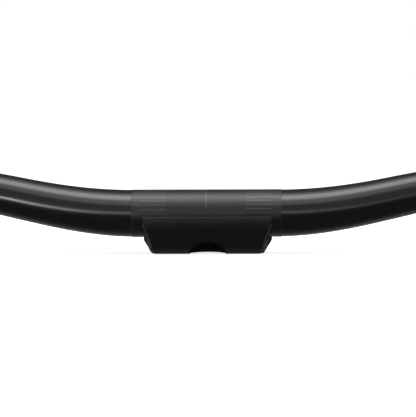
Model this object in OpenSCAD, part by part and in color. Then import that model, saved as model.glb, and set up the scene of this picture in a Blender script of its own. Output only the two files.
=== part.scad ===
// Riser handlebar: a hollow, bent and tapered bar lying in the half-round seat
// of a block under its middle, with a cap screw in a pocket at each end of the block.
// Millimetres. X runs along the bar, -Y is the front, +Z is up.
// The origin is the middle of the bar's axis.

/* [Bar] */
// Overall width of the bar, end to end
bar_w = 780; // [700:5:820]
// Outside diameter in the clamp zone
clamp_d = 31.8; // [31.2:0.1:35]
// Length of the raised, textured clamp zone
clamp_zone = 100; // [92:1:112]
// How far the clamp zone stands proud of the bare tube, on the radius
zone_step = 0.2; // [0.1:0.05:0.4]
// Outside diameter of the straight grip ends
grip_d = 22.2; // [21.8:0.1:24]
// Wall thickness in the middle
wall_mid = 2.6; // [2:0.1:3.4]
// Wall thickness at the grip ends
wall_end = 1.8; // [1.4:0.1:2.4]
// Chamfer on the outer rims of the open ends
end_chamfer = 0.5; // [0.2:0.1:0.8]

/* [Bends] */
// Distance from the middle at which the first bend starts
bend_start = 47; // [42:1:50]
// Length of the first bend, measured along X
bend_run = 85; // [60:1:95]
// Upward angle of the tube between its two bends
rise_angle = 12; // [6:0.5:15]
// Backward angle of the tube between its two bends
mid_backsweep = 4; // [2:0.5:6]
// Distance from the middle at which the outer bend starts
outer_start = 165; // [150:1:175]
// Length of the outer bend, measured along X
outer_run = 50; // [30:1:60]
// Upward angle of the grip ends
upsweep = 5; // [3:0.5:8]
// Backward angle of the grip ends
backsweep = 8; // [6:0.5:10]

/* [Taper] */
// Distance from the middle at which the fast part of the taper ends
taper_knee = 125; // [115:1:135]
// Outside diameter at that place
knee_d = 27.9; // [26.5:0.1:29]
// Loss of diameter for each millimetre at that place
knee_rate = 0.034; // [0.02:0.002:0.05]

/* [Block] */
// Width of the block along the bar
block_w = 87; // [84:1:90]
// Wall of the seat at the split, outside the bar
seat_wall = 4.1; // [3.5:0.1:6]
// Radial gap between the bar and its seat
seat_gap = 0.1; // [0.05:0.05:0.3]
// How far the seat's lips stop below the bar's axis
lip_drop = 0.9; // [0.2:0.1:1.5]
// Thickness of the block under the bar
under_bar = 11.1; // [10.8:0.1:18]
// Lean of the flat front face, from the vertical
front_lean = 35; // [28:1:36]
// Radius of the round along the front edge of the base
base_round = 2.4; // [1:0.1:3]
// Height of the slanted part of each end, above the base
end_slant = 9.5; // [7:0.5:12]
// Lean of each slanted end, from the vertical
end_lean = 32; // [24:1:34]

/* [Centre relief] */
// Radius of the round relief in the base
relief_r = 15; // [12:0.1:15.2]
// Distance of its axis behind the bar's axis
relief_back = 2.3; // [1:0.1:3]
// Thickness of block left between the relief and the seat
relief_roof = 2.4; // [2:0.1:5]
// Chamfer round the relief's mouth
relief_chamfer = 1; // [0.4:0.1:1.5]

/* [Screw pockets] */
// Distance below the axis at which a pocket starts
pocket_top = 7; // [4:0.5:8]
// Lean of the pocket's shoulder, from the vertical
shoulder_lean = 28; // [24:1:32]
// Lean of the pocket's floor, from the vertical
floor_lean = 16; // [12:1:18]
// Depth of the pocket at the foot of its floor, from the block's upright end
pocket_depth = 7.6; // [6:0.1:8.5]
// Clearance between a screw head and the pocket's back wall
head_clear = 0.6; // [0.3:0.1:1]

/* [Cap screws] */
// Thread diameter
screw_d = 5; // [4:0.5:5]
// Length of the thread
screw_l = 6; // [5:0.5:6.5]
// Diameter of the low cylindrical head
head_d = 8.5; // [7:0.1:9]
// Height of the head
head_h = 2.8; // [2.4:0.1:3.4]
// Chamfer round the outer face of the head
head_chamfer = 0.6; // [0.3:0.1:0.8]
// Key size across the flats
key_af = 3; // [2.5:0.5:3]
// Depth of the key's socket
key_depth = 1.7; // [1.3:0.1:1.9]
// Distance of a screw's axis behind the front of the block
screw_cover = 15.5; // [15:0.1:16.5]
// Height of the middle of a head's seat above the base
screw_rise = 6.5; // [6:0.1:6.8]
// Radial gap between a screw and its hole
thread_gap = 0.05; // [0.03:0.01:0.1]

/* [Base holes] */
// Distance between the two threaded holes in the base
hole_pitch = 50.8; // [46:0.1:54]
// Diameter of the threaded holes
hole_d = 6; // [5:0.5:6]
// Depth of the threaded holes
hole_depth = 9; // [7:0.5:9]

/* [Hidden] */

$fn = 96;
bar_sides = 40;     // flat sides round the bent tube's outside
bore_sides = 24;    // flat sides round the bent tube's inside
bar_rings = 22;     // sections along the bent tube's outside
bore_rings = 12;    // sections along the bent tube's inside
lap = 1;            // how far a bent length runs into a straight one
hair = 0.01;        // keeps laid-together surfaces from coinciding
arc_step = 3;       // degrees between the points of a rounded outline

half_w = bar_w / 2;
bare_d = clamp_d - 2 * zone_step;
outer_end = outer_start + outer_run;
axis_h = clamp_d / 2 + under_bar;
seat_r = clamp_d / 2 + seat_gap;
cradle_r = clamp_d / 2 + seat_wall;
screw_front = cradle_r - screw_cover;
relief_top = -seat_r - relief_roof;
hole_back = (cradle_r - front_foot()) / 2 + front_foot();

// Share of the first bend that is behind a point, as a slope from 0 to 1
function inner_lean(x) =
    x <= bend_start ? 0
    : x >= bend_start + bend_run ? 1
    : sin(90 * (x - bend_start) / bend_run);

// Area under that slope
function inner_run(x) =
    x <= bend_start ? 0
    : x >= bend_start + bend_run ? 2 * bend_run / PI + x - bend_start - bend_run
    : 2 * bend_run / PI * (1 - cos(90 * (x - bend_start) / bend_run));

// Share of the outer bend that is behind a point, as a slope from 0 to 1
function outer_lean(x) =
    x <= outer_start ? 0
    : x >= outer_end ? 1
    : (1 - cos(180 * (x - outer_start) / outer_run)) / 2;

// Area under that slope
function outer_area(x) =
    x <= outer_start ? 0
    : x >= outer_end ? outer_run / 2 + x - outer_end
    : (x - outer_start) / 2 - outer_run / (2 * PI) * sin(180 * (x - outer_start) / outer_run);

// Point on the tube's axis, and the axis's direction there
function axis_at(x) = [
    x,
    tan(mid_backsweep) * inner_run(x) + (tan(backsweep) - tan(mid_backsweep)) * outer_area(x),
    tan(rise_angle) * inner_run(x) + (tan(upsweep) - tan(rise_angle)) * outer_area(x)];
function heading(x) = unit([
    1,
    tan(mid_backsweep) * inner_lean(x) + (tan(backsweep) - tan(mid_backsweep)) * outer_lean(x),
    tan(rise_angle) * inner_lean(x) + (tan(upsweep) - tan(rise_angle)) * outer_lean(x)]);
function unit(v) = v / norm(v);

// Smooth curve from a value and slope at x0 to a value and slope at x1
function blend(x, x0, v0, s0, x1, v1, s1) =
    let (run = x1 - x0, t = (x - x0) / run)
    (2 * t * t * t - 3 * t * t + 1) * v0 + (t * t * t - 2 * t * t + t) * run * s0
    + (3 * t * t - 2 * t * t * t) * v1 + (t * t * t - t * t) * run * s1;

// Outside diameter and wall of the tube at a distance from the middle
function outer_d(x) =
    x <= bend_start ? bare_d
    : x <= taper_knee ? blend(x, bend_start, bare_d, 0, taper_knee, knee_d, -knee_rate)
    : x <= outer_end ? blend(x, taper_knee, knee_d, -knee_rate, outer_end, grip_d, 0)
    : grip_d;
function wall(x) =
    let (t = min(1, max(0, (x - bend_start) / (outer_end - bend_start))))
    wall_mid + (wall_end - wall_mid) * t;
function inner_d(x) = outer_d(x) - 2 * wall(x);

// Closed ring of points round the axis, with its flats just outside the given diameter
function ring(x, d, sides) =
    let (c = axis_at(x), t = heading(x), side = unit(cross([0, 0, 1], t)), up = cross(t, side),
         r = (d / 2 + hair) / cos(180 / sides))
    [for (i = [0:sides - 1]) c + r * (cos(360 * i / sides) * side + sin(360 * i / sides) * up)];

// Y of the front face where it meets the plane of the base
function front_foot() =
    -cradle_r * cos(front_lean) + (axis_h - cradle_r * sin(front_lean)) * tan(front_lean);

// Points of an arc, by its centre, radius and two angles
function arc(c, r, a0, a1) =
    let (n = max(2, ceil(abs(a1 - a0) / arc_step)))
    [for (i = [0:n]) c + r * [cos(a0 + (a1 - a0) * i / n), sin(a0 + (a1 - a0) * i / n)]];

// Right-hand bent length as one closed skin over its rings
module swept(rings) {
    sides = len(rings[0]);
    last = len(rings) - 1;
    polyhedron(
        points = [for (r = rings) each r],
        faces = concat(
            [[for (i = [0:sides - 1]) i]],
            [for (k = [0:last - 1], i = [0:sides - 1])
                let (j = (i + 1) % sides, a = k * sides, b = a + sides)
                each [[a + i, b + i, b + j], [a + i, b + j, a + j]]],
            [[for (i = [sides - 1:-1:0]) last * sides + i]]));
}

// Section places along the bent length, from the first bend to just past the outer one
function places(count) =
    concat([for (i = [0:count - 1]) bend_start + (outer_end - bend_start) * i / (count - 1)],
           [outer_end + lap]);

// Puts its children on the right-hand grip's axis, with +Z pointing out of the end
module on_grip() {
    h = heading(outer_end);
    translate(axis_at(outer_end)) rotate([0, acos(h[2]), atan2(h[1], h[0])]) children();
}
grip_len = (half_w - outer_end) / heading(outer_end)[0];

// One half of the bar's outer shape beyond the clamp zone
module arm_outside() {
    swept([for (x = places(bar_rings)) ring(x, outer_d(x), bar_sides)]);
    on_grip() {
        cylinder(d = grip_d, h = grip_len - end_chamfer);
        translate([0, 0, grip_len - end_chamfer])
            cylinder(d1 = grip_d, d2 = grip_d - 2 * end_chamfer, h = end_chamfer);
    }
}

// One half of the bar's hollow
module arm_inside() {
    swept([for (x = places(bore_rings)) ring(x, inner_d(x), bore_sides)]);
    on_grip() cylinder(d = grip_d - 2 * wall_end, h = grip_len + lap);
}

module handlebar() {
    color([0.07, 0.07, 0.075]) difference() {
        union() {
            rotate([0, 90, 0]) cylinder(d = clamp_d, h = clamp_zone, center = true);
            rotate([0, 90, 0]) cylinder(d = bare_d, h = 2 * (bend_start + lap), center = true);
            for (s = [0, 1]) mirror([s, 0, 0]) arm_outside();
        }
        rotate([0, 90, 0])
            cylinder(d = bare_d - 2 * wall_mid, h = 2 * (bend_start + lap), center = true);
        for (s = [0, 1]) mirror([s, 0, 0]) arm_inside();
    }
}

// Side outline of the block: [Y, Z] points from the front lip down, round the base and up the back
module side_outline() {
    foot = front_foot();
    turn = 90 - front_lean;
    setback = base_round * tan(turn / 2);
    polygon(concat(
        arc([0, 0], cradle_r, 180 + asin(lip_drop / cradle_r), 180 + front_lean),
        arc([foot + setback, base_round - axis_h], base_round, 180 + front_lean, 270),
        [[cradle_r, -axis_h], [cradle_r, -lip_drop]]));
}

// Front outline of the block: [X, Z] points, upright ends that slant in towards the base
module end_outline() {
    half = block_w / 2;
    toe = half - end_slant * tan(end_lean);
    polygon([[half, 0], [half, end_slant - axis_h], [toe, -axis_h],
             [-toe, -axis_h], [-half, end_slant - axis_h], [-half, 0]]);
}

// X of a pocket's sloping floor at a height above the base
function floor_x(h) = block_w / 2 - pocket_depth + h * tan(floor_lean);

// Front corner cut away round a screw, up to the wall behind its head
module pocket() {
    half = block_w / 2;
    drop = axis_h - pocket_top;
    meet = (half - drop * tan(shoulder_lean) - floor_x(0)) / (tan(floor_lean) - tan(shoulder_lean));
    back = head_d / 2 + head_clear - screw_front;
    depth = cradle_r + back + lap;
    translate([0, back, 0]) rotate([90, 0, 0]) linear_extrude(depth)
        polygon([[half, -pocket_top], [floor_x(meet), meet - axis_h], [floor_x(-lap), -axis_h - lap],
                 [half + lap, -axis_h - lap], [half + lap, -pocket_top]]);
}

// Puts its children at the right-hand screw's seat, with +Z pointing out along the screw
module on_seat() {
    translate([floor_x(screw_rise), -screw_front, screw_rise - axis_h])
        rotate([0, 90 + floor_lean, 0]) children();
}

module mount_block() {
    color([0.1, 0.1, 0.105]) difference() {
        intersection() {
            rotate([90, 0, 90]) linear_extrude(block_w + lap, center = true) side_outline();
            rotate([90, 0, 0]) linear_extrude(4 * cradle_r, center = true) end_outline();
        }
        rotate([0, 90, 0]) cylinder(r = seat_r, h = block_w + 2 * lap, center = true);
        translate([0, relief_back, -axis_h - lap]) cylinder(r = relief_r, h = axis_h + lap + relief_top);
        translate([0, relief_back, -axis_h - lap])
            cylinder(r1 = relief_r + relief_chamfer + lap, r2 = relief_r, h = relief_chamfer + lap);
        for (s = [0, 1]) mirror([s, 0, 0]) {
            pocket();
            on_seat() translate([0, 0, -screw_l - thread_gap])
                cylinder(d = screw_d + 2 * thread_gap, h = screw_l + lap);
            translate([hole_pitch / 2, hole_back, -axis_h - lap])
                cylinder(d = hole_d, h = hole_depth + lap);
        }
    }
}

// Low cap screw with a six-sided socket, head outwards and its seat at the origin
module cap_screw() {
    color([0.13, 0.13, 0.135]) difference() {
        union() {
            cylinder(d = head_d, h = head_h - head_chamfer);
            translate([0, 0, head_h - head_chamfer])
                cylinder(d1 = head_d, d2 = head_d - 2 * head_chamfer, h = head_chamfer);
            translate([0, 0, -screw_l]) cylinder(d = screw_d, h = screw_l + lap);
        }
        translate([0, 0, head_h - key_depth])
            cylinder(d = key_af / cos(30), h = key_depth + lap, $fn = 6);
    }
}

module cap_screw_left() { mirror([1, 0, 0]) on_seat() cap_screw(); }
module cap_screw_right() { on_seat() cap_screw(); }

handlebar();
mount_block();
cap_screw_left();
cap_screw_right();
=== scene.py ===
"""Looks of the riser handlebar: a black tapered bar in the seat of its mounting block.

Sizes are in millimetres in the CAD frame and become metres in the meshes.
X runs along the bar, -Y is the front, +Z is up. The origin is the middle of the bar's axis.
"""

import math

import bmesh
import bpy
from mathutils import Matrix, Vector


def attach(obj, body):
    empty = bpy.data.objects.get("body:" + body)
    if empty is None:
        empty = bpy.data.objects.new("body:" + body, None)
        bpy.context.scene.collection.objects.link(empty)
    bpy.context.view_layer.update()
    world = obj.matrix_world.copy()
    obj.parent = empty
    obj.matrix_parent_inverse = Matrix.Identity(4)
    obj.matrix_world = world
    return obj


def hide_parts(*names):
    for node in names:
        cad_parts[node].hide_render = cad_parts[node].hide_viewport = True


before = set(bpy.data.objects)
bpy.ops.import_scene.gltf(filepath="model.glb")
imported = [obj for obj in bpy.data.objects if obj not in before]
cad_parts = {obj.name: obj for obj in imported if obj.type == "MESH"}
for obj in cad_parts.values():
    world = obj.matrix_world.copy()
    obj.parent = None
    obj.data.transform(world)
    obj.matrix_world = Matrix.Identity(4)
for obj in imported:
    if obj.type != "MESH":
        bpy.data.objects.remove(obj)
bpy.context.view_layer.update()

MM = 0.001

# Bar
BAR_SIDES = 128
BAR_W = 780.0
CLAMP_D = 31.8
CLAMP_ZONE = 100.0
ZONE_STEP = 0.2
GRIP_D = 22.2
WALL_MID = 2.6
WALL_END = 1.8
END_CHAMFER = 0.5
BEND_START = 47.0
BEND_RUN = 85.0
RISE = math.tan(math.radians(12))
MID_SWEEP = math.tan(math.radians(4))
OUTER_START = 165.0
OUTER_RUN = 50.0
UPSWEEP = math.tan(math.radians(5))
BACKSWEEP = math.tan(math.radians(8))
TAPER_KNEE = 125.0
KNEE_D = 27.9
KNEE_RATE = 0.034

# Block
BLOCK_W = 85.8
BLOCK_SHIFT = 0.6
SEAT_R = 16.0
CRADLE_R = 20.0
LIP_DROP = 1.3
AXIS_H = 27.0
FRONT_LEAN = math.radians(35)
BASE_ROUND = 2.4
END_SLANT = 8.8
END_LEAN = math.radians(32)
RELIEF_HALF_W = 12.0
RELIEF_DEPTH = 16.0
RELIEF_ARCH_R = 14.4
RELIEF_ARCH_DROP = 5.9
RELIEF_CHAMFER = 1.0
POCKET_TOP = 7.0
SHOULDER_LEAN = math.radians(26)
FLOOR_LEAN = math.radians(20)
POCKET_DEPTH = 7.6
HEAD_CLEAR = 0.6
EDGE_BEVEL = 0.25
LIP_BEVEL = 0.1
RIM_CHAMFER = 0.6
SHARP_FROM = math.radians(24)

# Cap screws and base holes
SCREW_D = 5.0
SCREW_L = 6.0
HEAD_D = 9.4
HEAD_H = 2.2
HEAD_CHAMFER = 0.6
KEY_AF = 3.0
KEY_DEPTH = 1.7
SCREW_FRONT = 4.5
SCREW_RISE = 6.5
THREAD_GAP = 0.05
SCREW_SIDES = 288
KNURL_RIDGES = 48
KNURL_DEPTH = 0.11
HOLE_PITCH = 50.8
HOLE_D = 6.0
HOLE_DEPTH = 9.0
HOLE_CHAMFER = 0.5

# Marks on the clamp zone: the angles count up from the front horizon, in degrees
MARK_LIFT = 0.015
MARK_SINK = 0.05
MARK_WIDTH = 0.5
MARK_STEP = 10.6
MARKS_A_SIDE = 8
MARK_X_IN = 26.4
MARK_X_SHORT = 44.0
MARK_X_LONG = 49.6
LEFT_START = 2.8
RIGHT_START = 3.8
CENTRE_FROM = 14.0
CENTRE_TO = 110.0

# Stage
FLOOR_HALF = 4000.0
FLOOR_DROP = 0.02
FLOOR_PALE = 0.8
ROOM_HALF = 3000.0

# Strip: X, middle height and strength from left to right, as a long softbox seen at a slant
STRIP_STOPS = [(-260, -8, 17.0), (-200, -9, 15.0), (-167, -9, 13.0), (-156, -10, 10.5), (-135, -8, 7.0),
               (-121, -6, 5.6), (-102, -0.5, 4.3), (-84, 5, 3.2), (-59, 9.5, 2.7), (0, 13, 2.3),
               (52, 13, 2.2), (67, 12, 2.0), (84, 8, 1.9), (101, 3.5, 1.7), (118, 1.5, 1.45), (136, 1, 1.25),
               (157, 2, 1.05), (260, 2, 0.9)]
STRIP_Y = -130.0
STRIP_DOWN = 7.0
STRIP_UP = 12.0

# Sheen of the floor in gloss: Y where it starts and ends, its two strengths, and its lag along X
SHEEN_Y = (-17.0, 12.0)
SHEEN = (0.1, 0.5)
SHEEN_LAG = 0.09

# Dark cards in gloss: heights over the base, where the one behind the object starts, and the far walls
CARD_RISE = (0.5, 0.6)
FLAG_BEHIND_Y = 30.0
WALL = 2900.0
WALL_Z = (-100.0, ROOM_HALF)

HALF_W = BAR_W / 2
BARE_D = CLAMP_D - 2 * ZONE_STEP
OUTER_END = OUTER_START + OUTER_RUN


# Shapes of the bar

def inner_lean(x):
    return math.sin(math.pi / 2 * min(1, max(0, (x - BEND_START) / BEND_RUN)))


def inner_run(x):
    u = min(1, max(0, (x - BEND_START) / BEND_RUN))
    return 2 * BEND_RUN / math.pi * (1 - math.cos(math.pi / 2 * u)) + max(0, x - BEND_START - BEND_RUN)


def outer_lean(x):
    return (1 - math.cos(math.pi * min(1, max(0, (x - OUTER_START) / OUTER_RUN)))) / 2


def outer_area(x):
    s = min(OUTER_RUN, max(0, x - OUTER_START))
    bend = s / 2 - OUTER_RUN / (2 * math.pi) * math.sin(math.pi * s / OUTER_RUN)
    return bend + max(0, x - OUTER_END)


def axis_at(x):
    """Point on the bar's axis and the axis's direction there; the left half is the mirror."""
    a, sign = abs(x), 1 if x >= 0 else -1
    point = Vector((x, MID_SWEEP * inner_run(a) + (BACKSWEEP - MID_SWEEP) * outer_area(a),
                    RISE * inner_run(a) + (UPSWEEP - RISE) * outer_area(a)))
    slope = Vector((1, sign * (MID_SWEEP * inner_lean(a) + (BACKSWEEP - MID_SWEEP) * outer_lean(a)),
                    sign * (RISE * inner_lean(a) + (UPSWEEP - RISE) * outer_lean(a))))
    return point, slope.normalized()


def hermite(x, x0, v0, s0, x1, v1, s1):
    run, t = x1 - x0, (x - x0) / (x1 - x0)
    return ((2 * t ** 3 - 3 * t ** 2 + 1) * v0 + (t ** 3 - 2 * t ** 2 + t) * run * s0
            + (3 * t ** 2 - 2 * t ** 3) * v1 + (t ** 3 - t ** 2) * run * s1)


def outer_d(x):
    if x <= BEND_START:
        return BARE_D
    if x <= TAPER_KNEE:
        return hermite(x, BEND_START, BARE_D, 0, TAPER_KNEE, KNEE_D, -KNEE_RATE)
    if x <= OUTER_END:
        return hermite(x, TAPER_KNEE, KNEE_D, -KNEE_RATE, OUTER_END, GRIP_D, 0)
    return GRIP_D


def wall(x):
    return WALL_MID + (WALL_END - WALL_MID) * min(1, max(0, (x - BEND_START) / (OUTER_END - BEND_START)))


def spread(a, b, step):
    n = max(1, round((b - a) / step))
    return [a + (b - a) * i / n for i in range(n + 1)]


def new_object(name, verts, faces, materials=()):
    mesh = bpy.data.meshes.new(name)
    mesh.from_pydata([tuple(MM * c for c in v) for v in verts], [], faces)
    mesh.validate()
    obj = bpy.data.objects.new(name, mesh)
    bpy.context.scene.collection.objects.link(obj)
    for m in materials:
        mesh.materials.append(m)
    return obj


def smooth(obj, degrees):
    for p in obj.data.polygons:
        p.use_smooth = True
    obj.data.set_sharp_from_angle(angle=math.radians(degrees))


def make_bar(materials):
    """Hollow bar of rings: out along the right half, back through the bore, and the same on the left."""
    sides = BAR_SIDES
    edge = CLAMP_ZONE / 2
    coarse = 150.0
    half = [(x, CLAMP_D / 2, True) for x in spread(0, edge - 0.2, 1.5)]
    half += [(edge - 0.07, CLAMP_D / 2 - 0.02, True), (edge, CLAMP_D / 2 - 0.09, True)]
    bare = [edge + 0.01, edge + 0.3] + spread(edge + 1.5, coarse, 1.5) + spread(coarse, HALF_W, 4)[1:-1]
    half += [(x, outer_d(x) / 2, False) for x in bare]
    inside = [(x, outer_d(x) / 2 - wall(x), False) for x in spread(0, HALF_W, 8)[:-1]]

    rings = []

    def add(x, r, zone, shift=0.0):
        point, way = axis_at(x)
        if zone:
            point, way = Vector((x, 0, 0)), Vector((1, 0, 0))
        side = Vector((0, 0, 1)).cross(way).normalized()
        rings.append((point + way * shift, side, way.cross(side), r, zone))

    def ends(sign):
        """Rim of one open end, from the outside to the bore."""
        r, b = GRIP_D / 2, GRIP_D / 2 - WALL_END
        rows = [(r, -END_CHAMFER), (r - 0.08, -END_CHAMFER + 0.12), (r - END_CHAMFER, -0.02),
                (r - END_CHAMFER - 0.06, 0.0), (b + 0.3, 0.0), (b + 0.24, -0.02),
                (b + 0.02, -0.24), (b, -0.3)]
        for radius, shift in (rows if sign > 0 else rows[::-1]):
            add(sign * HALF_W, radius, False, sign * shift)

    for x, r, zone in reversed(half[1:]):
        add(-x, r, zone)
    for x, r, zone in half:
        add(x, r, zone)
    ends(1)
    for x, r, zone in reversed(inside):
        add(x, r, zone)
    for x, r, zone in inside[1:]:
        add(-x, r, zone)
    ends(-1)

    verts, faces, in_zone = [], [], []
    for point, side, up, r, _ in rings:
        for i in range(sides):
            a = 2 * math.pi * i / sides
            verts.append(point + r * (math.cos(a) * side + math.sin(a) * up))
    n = len(rings)
    for k in range(n):
        m = (k + 1) % n
        for i in range(sides):
            j = (i + 1) % sides
            faces.append((k * sides + i, k * sides + j, m * sides + j, m * sides + i))
            in_zone.append(1 if rings[k][4] and rings[m][4] else 0)
    obj = new_object("bar", verts, faces, materials)
    obj.data.polygons.foreach_set("material_index", in_zone)
    smooth(obj, 35)
    return obj


# Shapes of the block and its screws

def arc(cy, cz, r, a0, a1, step=1.5):
    n = max(2, math.ceil(abs(a1 - a0) / step))
    return [(cy + r * math.cos(math.radians(a0 + (a1 - a0) * i / n)),
             cz + r * math.sin(math.radians(a0 + (a1 - a0) * i / n))) for i in range(n + 1)]


def bands(sides, rings):
    """Faces between each ring of points and the next."""
    faces = []
    for k in range(rings - 1):
        for i in range(sides):
            j = (i + 1) % sides
            faces.append((k * sides + i, k * sides + j, (k + 1) * sides + j, (k + 1) * sides + i))
    return faces


def caps(sides, rings):
    """Faces that close the first and the last ring."""
    last = (rings - 1) * sides
    return [tuple(range(sides - 1, -1, -1)), tuple(range(last, last + sides))]


def extruded(name, outline, low, high, axis):
    """Solid between two places along X or Y, with its outline in the other two coordinates."""
    n = len(outline)
    verts = [(w, u, v) if axis == "X" else (u, w, v) for w in (low, high) for u, v in outline]
    return new_object(name, verts, caps(n, 2) + bands(n, 2))


def turned(name, rows, sides, place, materials=()):
    """Solid round the +Z of a placing matrix: rows of a height and a radius, or a radius by angle."""
    verts = []
    for z, radius in rows:
        for i in range(sides):
            a = 2 * math.pi * i / sides
            r = radius(a) if callable(radius) else radius
            verts.append(place @ Vector((r * math.cos(a), r * math.sin(a), z)))
    return new_object(name, verts, bands(sides, len(rows)) + caps(sides, len(rows)), materials)


def edit(obj, change):
    """Makes a change to the object's mesh as a bmesh."""
    bm = bmesh.new()
    bm.from_mesh(obj.data)
    change(bm)
    bm.to_mesh(obj.data)
    bm.free()


def tidy_normals(obj):
    edit(obj, lambda bm: bmesh.ops.recalc_face_normals(bm, faces=bm.faces))


def settle(obj):
    """Takes the object's modifiers into its mesh."""
    bpy.context.view_layer.update()
    shown = obj.evaluated_get(bpy.context.evaluated_depsgraph_get())
    mesh = bpy.data.meshes.new_from_object(shown)
    obj.modifiers.clear()
    obj.data = mesh


def merge_slivers(bm):
    """Merges corners closer than a hundredth of a millimetre and drops what has no area left."""
    bmesh.ops.remove_doubles(bm, verts=bm.verts, dist=0.01 * MM)
    bmesh.ops.dissolve_degenerate(bm, dist=0.01 * MM, edges=bm.edges)


def join_flat(bm):
    """Merges what the cuts leave in two: doubled corners and faces in one plane."""
    bmesh.ops.remove_doubles(bm, verts=bm.verts, dist=0.002 * MM)
    bmesh.ops.dissolve_limit(bm, angle_limit=math.radians(0.2), verts=bm.verts, edges=bm.edges)


def cut(obj, tools):
    for tool in tools:
        tidy_normals(tool)
        m = obj.modifiers.new("cut", "BOOLEAN")
        m.operation = "DIFFERENCE"
        m.solver = "EXACT"
        m.object = tool
    settle(obj)
    for tool in tools:
        bpy.data.objects.remove(tool)


def front_foot():
    rise = AXIS_H - CRADLE_R * math.sin(FRONT_LEAN)
    return -CRADLE_R * math.cos(FRONT_LEAN) + rise * math.tan(FRONT_LEAN)


def floor_x(h):
    return BLOCK_W / 2 - POCKET_DEPTH + h * math.tan(FLOOR_LEAN)


def meet_height():
    """Height above the base at which a pocket's shoulder meets its sloping floor."""
    drop = (AXIS_H - POCKET_TOP) * math.tan(SHOULDER_LEAN)
    return (drop - POCKET_DEPTH) / (math.tan(SHOULDER_LEAN) - math.tan(FLOOR_LEAN))


def pocket_back():
    return HEAD_D / 2 + HEAD_CLEAR - SCREW_FRONT


def on_seat(sign):
    """Places +Z out along a screw, with its head's seat at the origin."""
    seat = Matrix.Translation((floor_x(SCREW_RISE), -SCREW_FRONT, SCREW_RISE - AXIS_H))
    place = seat @ Matrix.Rotation(math.pi / 2 + FLOOR_LEAN, 4, "Y")
    return place if sign > 0 else Matrix.Scale(-1, 4, (1, 0, 0)) @ place


def pocket_x(z):
    """X in mm of the wall of the right pocket at a height."""
    return max(BLOCK_W / 2 - (-POCKET_TOP - z) * math.tan(SHOULDER_LEAN), floor_x(z + AXIS_H))


def front_y(z):
    """Y in mm of the front face at a height: round by the seat, leaning below it."""
    if z > -CRADLE_R * math.sin(FRONT_LEAN):
        return -math.sqrt(CRADLE_R ** 2 - z ** 2)
    return -(CRADLE_R + z * math.sin(FRONT_LEAN)) / math.cos(FRONT_LEAN)


def rim_cutter(s):
    """Wedge along the edge of the front face and one pocket, which cuts the chamfer of its rim."""
    round_end = -CRADLE_R * math.sin(FRONT_LEAN)
    levels = [-POCKET_TOP + 3 - 0.5 * k for k in range(int((3 - POCKET_TOP - round_end) / 0.5) + 1)]
    levels += [round_end, meet_height() - AXIS_H, -AXIS_H - 1]
    verts = []
    for z in sorted(levels, reverse=True):
        x, y = pocket_x(z), front_y(z)
        verts += [(s * (x + 0.4 * RIM_CHAMFER), y + 1.4 * RIM_CHAMFER, z),
                  (s * (x - 1.4 * RIM_CHAMFER), y - 0.4 * RIM_CHAMFER, z), (s * (x + 2), y - 2, z)]
    return new_object("rim", verts, caps(3, len(levels)) + bands(3, len(levels)))


def on_chamfer(face):
    """Whether a face of the block is part of the chamfer of a pocket's rim."""
    p = face.center / MM
    side = 1 if p.x > 0 else -1
    near = abs(abs(p.x) - pocket_x(p.z)) < RIM_CHAMFER and abs(p.y - front_y(p.z)) < RIM_CHAMFER
    return near and p.z < -POCKET_TOP + 2 and face.normal.dot(Vector((side, -1, 0)).normalized()) > 0.78


def in_pocket(p):
    """Whether a point in mm on the block's surface lies in or beside a pocket."""
    return abs(p.x) > floor_x(-1) - 1 and p.y < pocket_back() + 0.1 and p.z < -LIP_DROP - 0.1


def in_relief(p):
    """Whether a point in mm on the block's surface lies on a wall or the roof of the relief in its base."""
    roof = RELIEF_ARCH_R - RELIEF_ARCH_DROP - AXIS_H
    inside = abs(p.x) < RELIEF_HALF_W + RELIEF_CHAMFER and p.z < roof + 0.1
    behind_front = p.y > front_y(p.z) + 0.15 and p.y < front_foot() + RELIEF_DEPTH + RELIEF_CHAMFER
    return inside and behind_front and p.z > -AXIS_H + 0.02


def on_front_lip(face):
    """Whether a face is the narrow level top of the block in front of the bar."""
    p = face.center / MM
    return face.normal.z > 0.9 and p.z > -LIP_DROP - 0.05 and p.y < 0


def weigh_edges(bm):
    """Bevel weights: least on the lip, none in the pockets and the relief, full on other hard edges."""
    weight = bm.edges.layers.float.new("bevel_weight_edge")
    for edge in bm.edges:
        points = [v.co / MM for v in edge.verts]
        plain = all(in_pocket(p) for p in points) or all(in_relief(p) for p in points)
        if edge.calc_face_angle(0) > SHARP_FROM and not plain:
            lip = all(p.z > -LIP_DROP - 0.01 and p.y < 0 for p in points)
            edge[weight] = LIP_BEVEL / EDGE_BEVEL if lip else 1.0


def block_outline():
    """Section of the block as [Y, Z] points: front face, base, back and seat."""
    lean = 180 + math.degrees(FRONT_LEAN)
    setback = BASE_ROUND * math.tan((math.pi / 2 - FRONT_LEAN) / 2)
    lip = math.degrees(math.asin(LIP_DROP / CRADLE_R))
    seat_lip = math.degrees(math.asin(LIP_DROP / SEAT_R))
    knee = 180 + math.degrees(math.asin(POCKET_TOP / CRADLE_R))
    outline = arc(0, 0, CRADLE_R, 180 + lip, knee) + arc(0, 0, CRADLE_R, knee, lean)[1:]
    outline += arc(front_foot() + setback, BASE_ROUND - AXIS_H, BASE_ROUND, lean, 270, 4)
    outline += [(CRADLE_R, -AXIS_H), (CRADLE_R, -LIP_DROP)]
    return outline + arc(0, 0, SEAT_R, 360 - seat_lip, 180 + seat_lip)


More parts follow.
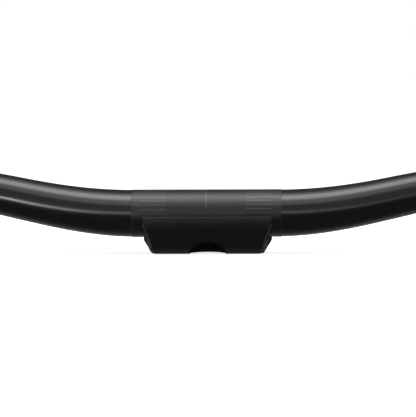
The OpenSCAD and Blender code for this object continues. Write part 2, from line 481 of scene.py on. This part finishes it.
def end_cutters(s):
    """What is cut from one end of the block: slant, pocket, chamfer of its rim, screw hole and base hole."""
    half = BLOCK_W / 2
    out, below, past = 10.0, 5.0, 60.0
    drop = END_SLANT * math.tan(END_LEAN)
    slant = [(half - drop, -AXIS_H), (half, END_SLANT - AXIS_H),
             (half + out, END_SLANT - AXIS_H + out / math.tan(END_LEAN)),
             (half + out, -AXIS_H - below), (half - drop - below * math.tan(END_LEAN), -AXIS_H - below)]
    meet = meet_height()
    pocket = [(half, -POCKET_TOP), (floor_x(meet), meet - AXIS_H), (floor_x(-below), -AXIS_H - below),
              (half + out, -AXIS_H - below), (half + out, -POCKET_TOP)]
    screw_r = SCREW_D / 2 + THREAD_GAP
    bore = [(-SCREW_L - THREAD_GAP, screw_r), (1, screw_r)]
    hole = [(-1, HOLE_D / 2 + HOLE_CHAMFER + 1), (HOLE_CHAMFER, HOLE_D / 2), (HOLE_DEPTH, HOLE_D / 2)]
    hole_y = (CRADLE_R + front_foot()) / 2
    hole_place = Matrix.Translation((s * HOLE_PITCH / 2 - BLOCK_SHIFT, hole_y, -AXIS_H))
    return [extruded("slant", [(s * x, z) for x, z in slant], -past, past, "Y"),
            extruded("pocket", [(s * x, z) for x, z in pocket], -past, pocket_back(), "Y"),
            rim_cutter(s),
            turned("screw_hole", bore, 64, on_seat(s)),
            turned("base_hole", hole, 64, hole_place)]


def make_block(materials):
    obj = extruded("block", block_outline(), -BLOCK_W / 2, BLOCK_W / 2, "X")
    tidy_normals(obj)
    cut(obj, end_cutters(1) + end_cutters(-1) + [relief_cutter()])
    edit(obj, join_flat)
    for material in materials:
        obj.data.materials.append(material)
    edit(obj, weigh_edges)
    m = obj.modifiers.new("edges", "BEVEL")
    m.limit_method = "WEIGHT"
    m.width = EDGE_BEVEL * MM
    m.segments = 3
    m.use_clamp_overlap = False
    settle(obj)
    edit(obj, merge_slivers)
    for face in obj.data.polygons:
        # The relief and the lip top take the darker copy of the finish: painted shade.
        in_painted_shade = in_relief(face.center / MM) or on_front_lip(face)
        # The chamfers along the pockets' rims take the lighter grey: a painted highlight.
        face.material_index = 1 if on_chamfer(face) else 2 if in_painted_shade else 0
    obj.data.transform(Matrix.Translation((BLOCK_SHIFT * MM, 0, 0)))
    smooth(obj, 32)
    m = obj.modifiers.new("normals", "WEIGHTED_NORMAL")
    m.keep_sharp = True
    settle(obj)
    return obj


def relief_cutter():
    """Recess under the middle: a round-ended plan, open to the front, below an arched roof."""
    foot = front_foot()
    top = RELIEF_ARCH_R - RELIEF_ARCH_DROP
    roof = [top * math.sin(math.pi / 2 * k / 24) for k in range(24)]
    levels = [-1.0, RELIEF_CHAMFER] + [z for z in roof if z > RELIEF_CHAMFER + 0.3] + [top - 0.01]
    sides = 64
    verts = []
    for z in levels:
        flare = max(0, RELIEF_CHAMFER - z)
        arch = math.sqrt(RELIEF_ARCH_R ** 2 - (max(z, 0) + RELIEF_ARCH_DROP) ** 2)
        half = min(RELIEF_HALF_W, arch) + 0.3 * flare
        deep = RELIEF_DEPTH + flare
        for i in range(sides + 1):
            a = math.pi * i / sides
            verts.append((half * math.cos(a), foot + deep * math.sin(a), z - AXIS_H))
        verts += [(-half, -2 * CRADLE_R, z - AXIS_H), (half, -2 * CRADLE_R, z - AXIS_H)]
    return new_object("relief", verts, bands(sides + 3, len(levels)) + caps(sides + 3, len(levels)))


def make_screw(name, sign, material):
    """Low cap screw with a straight-knurled head and a six-sided socket."""
    shank, head, socket = SCREW_D / 2, HEAD_D / 2, KEY_AF / 2

    def knurl(a):
        return head - KNURL_DEPTH * abs((a * KNURL_RIDGES / (2 * math.pi)) % 1 * 2 - 1)

    def hexagon(a):
        return socket / math.cos((a % (math.pi / 3)) - math.pi / 6)

    rows = [(-SCREW_L, 0.2), (-SCREW_L, shank - 0.5), (-SCREW_L + 0.5, shank), (-0.02, shank),
            (0, shank + 0.05), (0, head - 0.35), (0.25, head - 0.17), (0.4, knurl), (HEAD_H - 0.75, knurl),
            (HEAD_H - HEAD_CHAMFER, head - 0.17), (HEAD_H - 0.04, head - 0.6), (HEAD_H, head - 0.66),
            (HEAD_H, socket / math.cos(math.pi / 6) + 0.22), (HEAD_H - 0.2, hexagon),
            (HEAD_H - KEY_DEPTH, hexagon), (HEAD_H - KEY_DEPTH - 0.35, 0.15)]
    obj = turned(name, rows, SCREW_SIDES, on_seat(sign), [material])
    obj.data.transform(Matrix.Translation((BLOCK_SHIFT * MM, 0, 0)))
    tidy_normals(obj)
    smooth(obj, 22)
    return obj


# Graduations and centre mark

def strips(name, lines, material):
    """Thin closed marks on the clamp zone, each between two X places and two angles."""
    verts, faces = [], []
    for x0, x1, a0, a1 in lines:
        xs = spread(x0, x1, 2.0)
        angles = [math.radians(a) for a in spread(a0, a1, 1.0)]
        base = len(verts)
        for r in (CLAMP_D / 2 - MARK_SINK, CLAMP_D / 2 + MARK_LIFT):
            verts += [(x, -r * math.cos(a), r * math.sin(a)) for x in xs for a in angles]

        def at(layer, i, j):
            return base + (layer * len(xs) + i) * len(angles) + j

        nx, na = len(xs) - 1, len(angles) - 1
        for i in range(nx):
            faces += [(at(k, i, j), at(k, i, j + 1), at(k, i + 1, j + 1), at(k, i + 1, j))
                      for j in range(na) for k in (0, 1)]
            faces += [(at(0, i, j), at(1, i, j), at(1, i + 1, j), at(0, i + 1, j)) for j in (0, na)]
        for j in range(na):
            faces += [(at(0, i, j), at(1, i, j), at(1, i, j + 1), at(0, i, j + 1)) for i in (0, nx)]
    obj = new_object(name, verts, faces, [material])
    tidy_normals(obj)
    smooth(obj, 30)
    return obj


def make_marks(material, middle_material):
    """Eight lines on each side, every other one longer, and the centre mark."""
    wide = math.degrees(MARK_WIDTH / CLAMP_D)
    made = []
    for name, s, start in (("graduations_left", -1, LEFT_START), ("graduations_right", 1, RIGHT_START)):
        lines = []
        for k in range(1, MARKS_A_SIDE + 1):
            a = start + MARK_STEP * k
            x0, x1 = sorted((s * MARK_X_IN, s * (MARK_X_LONG if k % 2 == 0 else MARK_X_SHORT)))
            lines.append((x0, x1, a - wide, a + wide))
        made.append(strips(name, lines, material))
    middle = [(-MARK_WIDTH / 2, MARK_WIDTH / 2, CENTRE_FROM, CENTRE_TO)]
    made.append(strips("centre_mark", middle, middle_material))
    return made


# Materials

def feed(tree, node, inputs):
    """Gives inputs, by name or number, a value each or the output of another node."""
    for key, value in dict(inputs).items():
        if isinstance(value, bpy.types.NodeSocket):
            tree.links.new(value, node.inputs[key])
        else:
            node.inputs[key].default_value = value


def add_node(tree, kind, inputs=(), **settings):
    node = tree.nodes.new(kind)
    for key, value in settings.items():
        setattr(node, key, value)
    feed(tree, node, inputs)
    return node


def coat(name, colour, roughness, grain, shader=()):
    """Coated metal: its colour, the range of its roughness, and a fine bump in object coordinates."""
    material = bpy.data.materials.new(name)
    material.use_nodes = True
    tree = material.node_tree
    scale, strength, depth, detail = grain
    where = add_node(tree, "ShaderNodeTexCoord")
    noise = add_node(tree, "ShaderNodeTexNoise",
                     {"Vector": where.outputs["Object"], "Scale": scale, "Detail": detail})
    bump = add_node(tree, "ShaderNodeBump",
                    {"Height": noise.outputs["Fac"], "Strength": strength, "Distance": depth})
    ramp = add_node(tree, "ShaderNodeMapRange",
                    {"Value": noise.outputs["Fac"], "To Min": roughness[0], "To Max": roughness[1]})
    surface = tree.nodes["Principled BSDF"]
    feed(tree, surface, {"Base Color": (*colour, 1), "Normal": bump.outputs["Normal"],
                         "Roughness": ramp.outputs["Result"]})
    feed(tree, surface, shader)
    return material


# Grain: noise scale, bump strength, depth in metres and noise detail
GLOSS_GRAIN = (900, 0.12, 0.00002, 3.0)
BLAST_GRAIN = (1500, 1.0, 0.00012, 3.0)
STEEL_GRAIN = (1800, 0.2, 0.00002, 3.0)
BLOCK_GRAIN = (2200, 0.25, 0.00003, 2.0)
FINE_GRAIN = (2600, 0.3, 0.00003, 2.0)
VIOLET = {"Specular Tint": (1.0, 0.95, 1.0, 1)}

bar_black = coat("bar_black", (0.0036, 0.0035, 0.0038), (0.19, 0.23), GLOSS_GRAIN, VIOLET)
zone_matte = coat("zone_matte", (0.0045, 0.0044, 0.0047), (0.36, 0.44), BLAST_GRAIN, VIOLET)
block_matte = coat("block_matte", (0.0034, 0.0032, 0.0037), (0.46, 0.54), BLOCK_GRAIN,
                   {**VIOLET, "Specular IOR Level": 0.8})
# Darker, less glossy copy of the block's finish for the walls and roof of the relief and the lip top before
# the bar: painted shade in the recess and in the gap between bar and block.
block_painted_shade = coat("block_painted_shade", (0.004, 0.004, 0.004), (0.56, 0.64), FINE_GRAIN,
                    {"Specular IOR Level": 0.35})
# Lighter grey for the chamfers along the pockets' rims: a painted highlight.
rim_painted_highlight = coat("rim_painted_highlight", (0.05, 0.05, 0.05), (0.3, 0.4), BLOCK_GRAIN)
screw_black = coat("screw_black", (0.055, 0.055, 0.057), (0.3, 0.4), STEEL_GRAIN)
mark_grey = coat("mark_grey", (0.055, 0.052, 0.058), (0.3, 0.36), FINE_GRAIN)
centre_grey = coat("centre_grey", (0.07, 0.066, 0.074), (0.36, 0.44), FINE_GRAIN)

# The object

bar = make_bar([bar_black, zone_matte])
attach(bar, "root")
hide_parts("handlebar")

block = make_block([block_matte, rim_painted_highlight, block_painted_shade])
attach(block, "root")
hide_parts("mount_block")

for piece_name, cad_name, sign in (("screw_left", "cap_screw_left", -1),
                                   ("screw_right", "cap_screw_right", 1)):
    screw = make_screw(piece_name, sign, screw_black)
    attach(screw, "root")
    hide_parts(cad_name)

for mark in make_marks(mark_grey, centre_grey):
    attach(mark, "root")

# Stage: floor, lamps and what gloss mirrors

def seen_ray(tree):
    """1 for camera, glossy and transmission rays."""
    path = add_node(tree, "ShaderNodeLightPath").outputs
    first = add_node(tree, "ShaderNodeMath", {0: path["Is Camera Ray"], 1: path["Is Glossy Ray"]},
                     operation="MAXIMUM")
    second = add_node(tree, "ShaderNodeMath", {0: first.outputs[0], 1: path["Is Transmission Ray"]},
                      operation="MAXIMUM")
    return second.outputs[0]


def bare_material(name):
    """Material without nodes, and its tree."""
    material = bpy.data.materials.new(name)
    material.use_nodes = True
    material.node_tree.nodes.clear()
    return material, material.node_tree


def show(tree, kind, inputs):
    """Makes a new shader node the surface of its material."""
    shader = add_node(tree, kind, inputs)
    add_node(tree, "ShaderNodeOutputMaterial", {"Surface": shader.outputs[0]})


def make_floor():
    """Pale floor that takes the shadow and shows white to camera, glossy and transmission rays."""
    material, tree = bare_material("floor_pale")
    diffuse = add_node(tree, "ShaderNodeBsdfDiffuse", {"Color": (FLOOR_PALE, FLOOR_PALE, FLOOR_PALE, 1)})
    scale = add_node(tree, "ShaderNodeMath", {0: seen_ray(tree), 1: FLOOR_PALE}, operation="MULTIPLY")
    glow = add_node(tree, "ShaderNodeEmission", {"Strength": scale.outputs[0]})
    show(tree, "ShaderNodeAddShader", {0: diffuse.outputs[0], 1: glow.outputs[0]})
    half, z = FLOOR_HALF, -AXIS_H - FLOOR_DROP
    corners = [(-half, -half, z), (half, -half, z), (half, half, z), (-half, half, z)]
    new_object("floor", corners, [(0, 1, 2, 3)], [material])


def only_in_gloss(obj):
    obj.visible_camera = False
    obj.visible_diffuse = False
    obj.visible_transmission = False
    obj.visible_shadow = False


def card(name, xs, ys, zs, strength):
    """Evenly glowing rectangle between two places along each axis, two of them the same on one axis."""
    material, tree = bare_material(name)
    show(tree, "ShaderNodeEmission", {"Strength": strength})
    if xs[0] == xs[1]:
        corners = [(xs[0], ys[0], zs[0]), (xs[0], ys[1], zs[0]), (xs[0], ys[1], zs[1]), (xs[0], ys[0], zs[1])]
    else:
        corners = [(xs[0], ys[0], zs[0]), (xs[1], ys[0], zs[0]), (xs[1], ys[1], zs[1]), (xs[0], ys[1], zs[1])]
    only_in_gloss(new_object(name, corners, [(0, 1, 2, 3)], [material]))


def sheen_card(name):
    """Card just over the floor whose glow grows towards the back and starts later further out."""
    material, tree = bare_material(name)
    where = add_node(tree, "ShaderNodeTexCoord")
    split = add_node(tree, "ShaderNodeSeparateXYZ", {0: where.outputs["Object"]})
    size = add_node(tree, "ShaderNodeMath", {0: split.outputs["X"]}, operation="ABSOLUTE")
    lag = add_node(tree, "ShaderNodeMath", {0: size.outputs[0], 1: -SHEEN_LAG, 2: split.outputs["Y"]},
                   operation="MULTIPLY_ADD")
    run = add_node(tree, "ShaderNodeMapRange",
                   {"Value": lag.outputs[0], "From Min": SHEEN_Y[0] * MM, "From Max": SHEEN_Y[1] * MM,
                    "To Min": SHEEN[0], "To Max": SHEEN[1]})
    show(tree, "ShaderNodeEmission", {"Strength": run.outputs["Result"]})
    half, z = ROOM_HALF, CARD_RISE[0] - AXIS_H
    corners = [(-half, -half, z), (half, -half, z), (half, FLAG_BEHIND_Y, z), (-half, FLAG_BEHIND_Y, z)]
    only_in_gloss(new_object(name, corners, [(0, 1, 2, 3)], [material]))


def ribbon(name):
    """Thin bright strip in front of the bar, seen only in gloss, whose strength runs along X."""
    first, last = STRIP_STOPS[0][0], STRIP_STOPS[-1][0]
    top = max(strength for _, _, strength in STRIP_STOPS)
    material, tree = bare_material(name)
    where = add_node(tree, "ShaderNodeTexCoord")
    split = add_node(tree, "ShaderNodeSeparateXYZ", {0: where.outputs["Object"]})
    run = add_node(tree, "ShaderNodeMapRange",
                   {"Value": split.outputs["X"], "From Min": first * MM, "From Max": last * MM})
    ramp = add_node(tree, "ShaderNodeValToRGB", {"Fac": run.outputs["Result"]})
    stops = ramp.color_ramp.elements
    stops.remove(stops[-1])
    verts, faces = [], []
    for k, (x, z, strength) in enumerate(STRIP_STOPS):
        place = (x - first) / (last - first)
        stop = stops[0] if k == 0 else stops.new(place)
        stop.position = place
        stop.color = (strength / top, strength / top, strength / top, 1)
        verts += [(x, STRIP_Y, z - STRIP_DOWN), (x, STRIP_Y, z + STRIP_UP)]
        if k:
            faces.append((2 * k - 2, 2 * k, 2 * k + 1, 2 * k - 1))
    scale = add_node(tree, "ShaderNodeMath", {0: ramp.outputs["Color"], 1: top}, operation="MULTIPLY")
    show(tree, "ShaderNodeEmission", {"Strength": scale.outputs[0]})
    only_in_gloss(new_object(name, verts, faces, [material]))


def lamp(name, place, size_x, size_y, radiance):
    """Softbox that faces straight down; its place and sizes are in metres."""
    data = bpy.data.lights.new(name, "AREA")
    data.shape = "RECTANGLE"
    data.size = size_x
    data.size_y = size_y
    data.energy = radiance * math.pi * size_x * size_y
    obj = bpy.data.objects.new(name, data)
    obj.location = place
    bpy.context.scene.collection.objects.link(obj)


make_floor()
lamp("softbox_core", (0, -0.10, 0.9), 0.9, 0.44, 4.2)
lamp("softbox_wide", (0, -0.28, 0.95), 0.9, 1.4, 1.5)

# Dark studio round the object, seen only in gloss: below, in front, behind, above and at both sides
wide = (-ROOM_HALF, ROOM_HALF)
low = (CARD_RISE[1] - AXIS_H, CARD_RISE[1] - AXIS_H)
# Painted reflection and shade, seen only in gloss: the sheen card stands for the floor's reflection, dimmer
# in front of the object, and the two dark cards for shade in the reflections of the relief and the block's
# front face.
sheen_card("floor_sheen")
card("flag_under", (-12.5, 12.5), (-7.0, 15.0), low, 0.03)
card("flag_foot", (-44.0, 44.0), (-70.0, -8.5), low, 0.03)
card("flag_behind", wide, (FLAG_BEHIND_Y, ROOM_HALF), (CARD_RISE[0] - AXIS_H, CARD_RISE[0] - AXIS_H), 0.12)
card("flag_front", wide, (-WALL, -WALL), WALL_Z, 0.5)
card("flag_back", wide, (WALL, WALL), WALL_Z, 0.12)
card("flag_left", (-WALL, -WALL), wide, WALL_Z, 0.2)
card("flag_right", (WALL, WALL), wide, WALL_Z, 0.2)
card("flag_top", wide, wide, (WALL, WALL), 0.3)
ribbon("strip_front")

world = bpy.data.worlds.new("studio")
bpy.context.scene.world = world
world.use_nodes = True
tree = world.node_tree
level = add_node(tree, "ShaderNodeMapRange", {"Value": seen_ray(tree), "To Min": 0.3, "To Max": 1.0})
feed(tree, tree.nodes["Background"], {"Color": (1, 1, 1, 1), "Strength": level.outputs["Result"]})

# Camera

DISTANCE = 1.8
AZIMUTH = math.radians(1.8)
ELEVATION = math.radians(3.8)
ROLL = math.radians(0.27)
LENS = 232.6
AIM = Vector((0.87, 0, 3.1)) * MM

camera_data = bpy.data.cameras.new("camera")
camera_data.lens = LENS
camera_data.sensor_fit = "AUTO"
camera_data.sensor_width = 36.0
camera_data.clip_start = 0.05
camera_data.clip_end = 30
camera = bpy.data.objects.new("camera", camera_data)
level_way = Vector((math.sin(AZIMUTH), -math.cos(AZIMUTH), 0))
away = level_way * math.cos(ELEVATION) + Vector((0, 0, math.sin(ELEVATION)))
camera.location = AIM + DISTANCE * away
turn = (-away).to_track_quat("-Z", "Y").to_matrix().to_4x4()
camera.rotation_euler = (turn @ Matrix.Rotation(-ROLL, 4, "Z")).to_euler()
bpy.context.scene.collection.objects.link(camera)
bpy.context.scene.camera = camera
bpy.context.scene.view_settings.view_transform = "Standard"
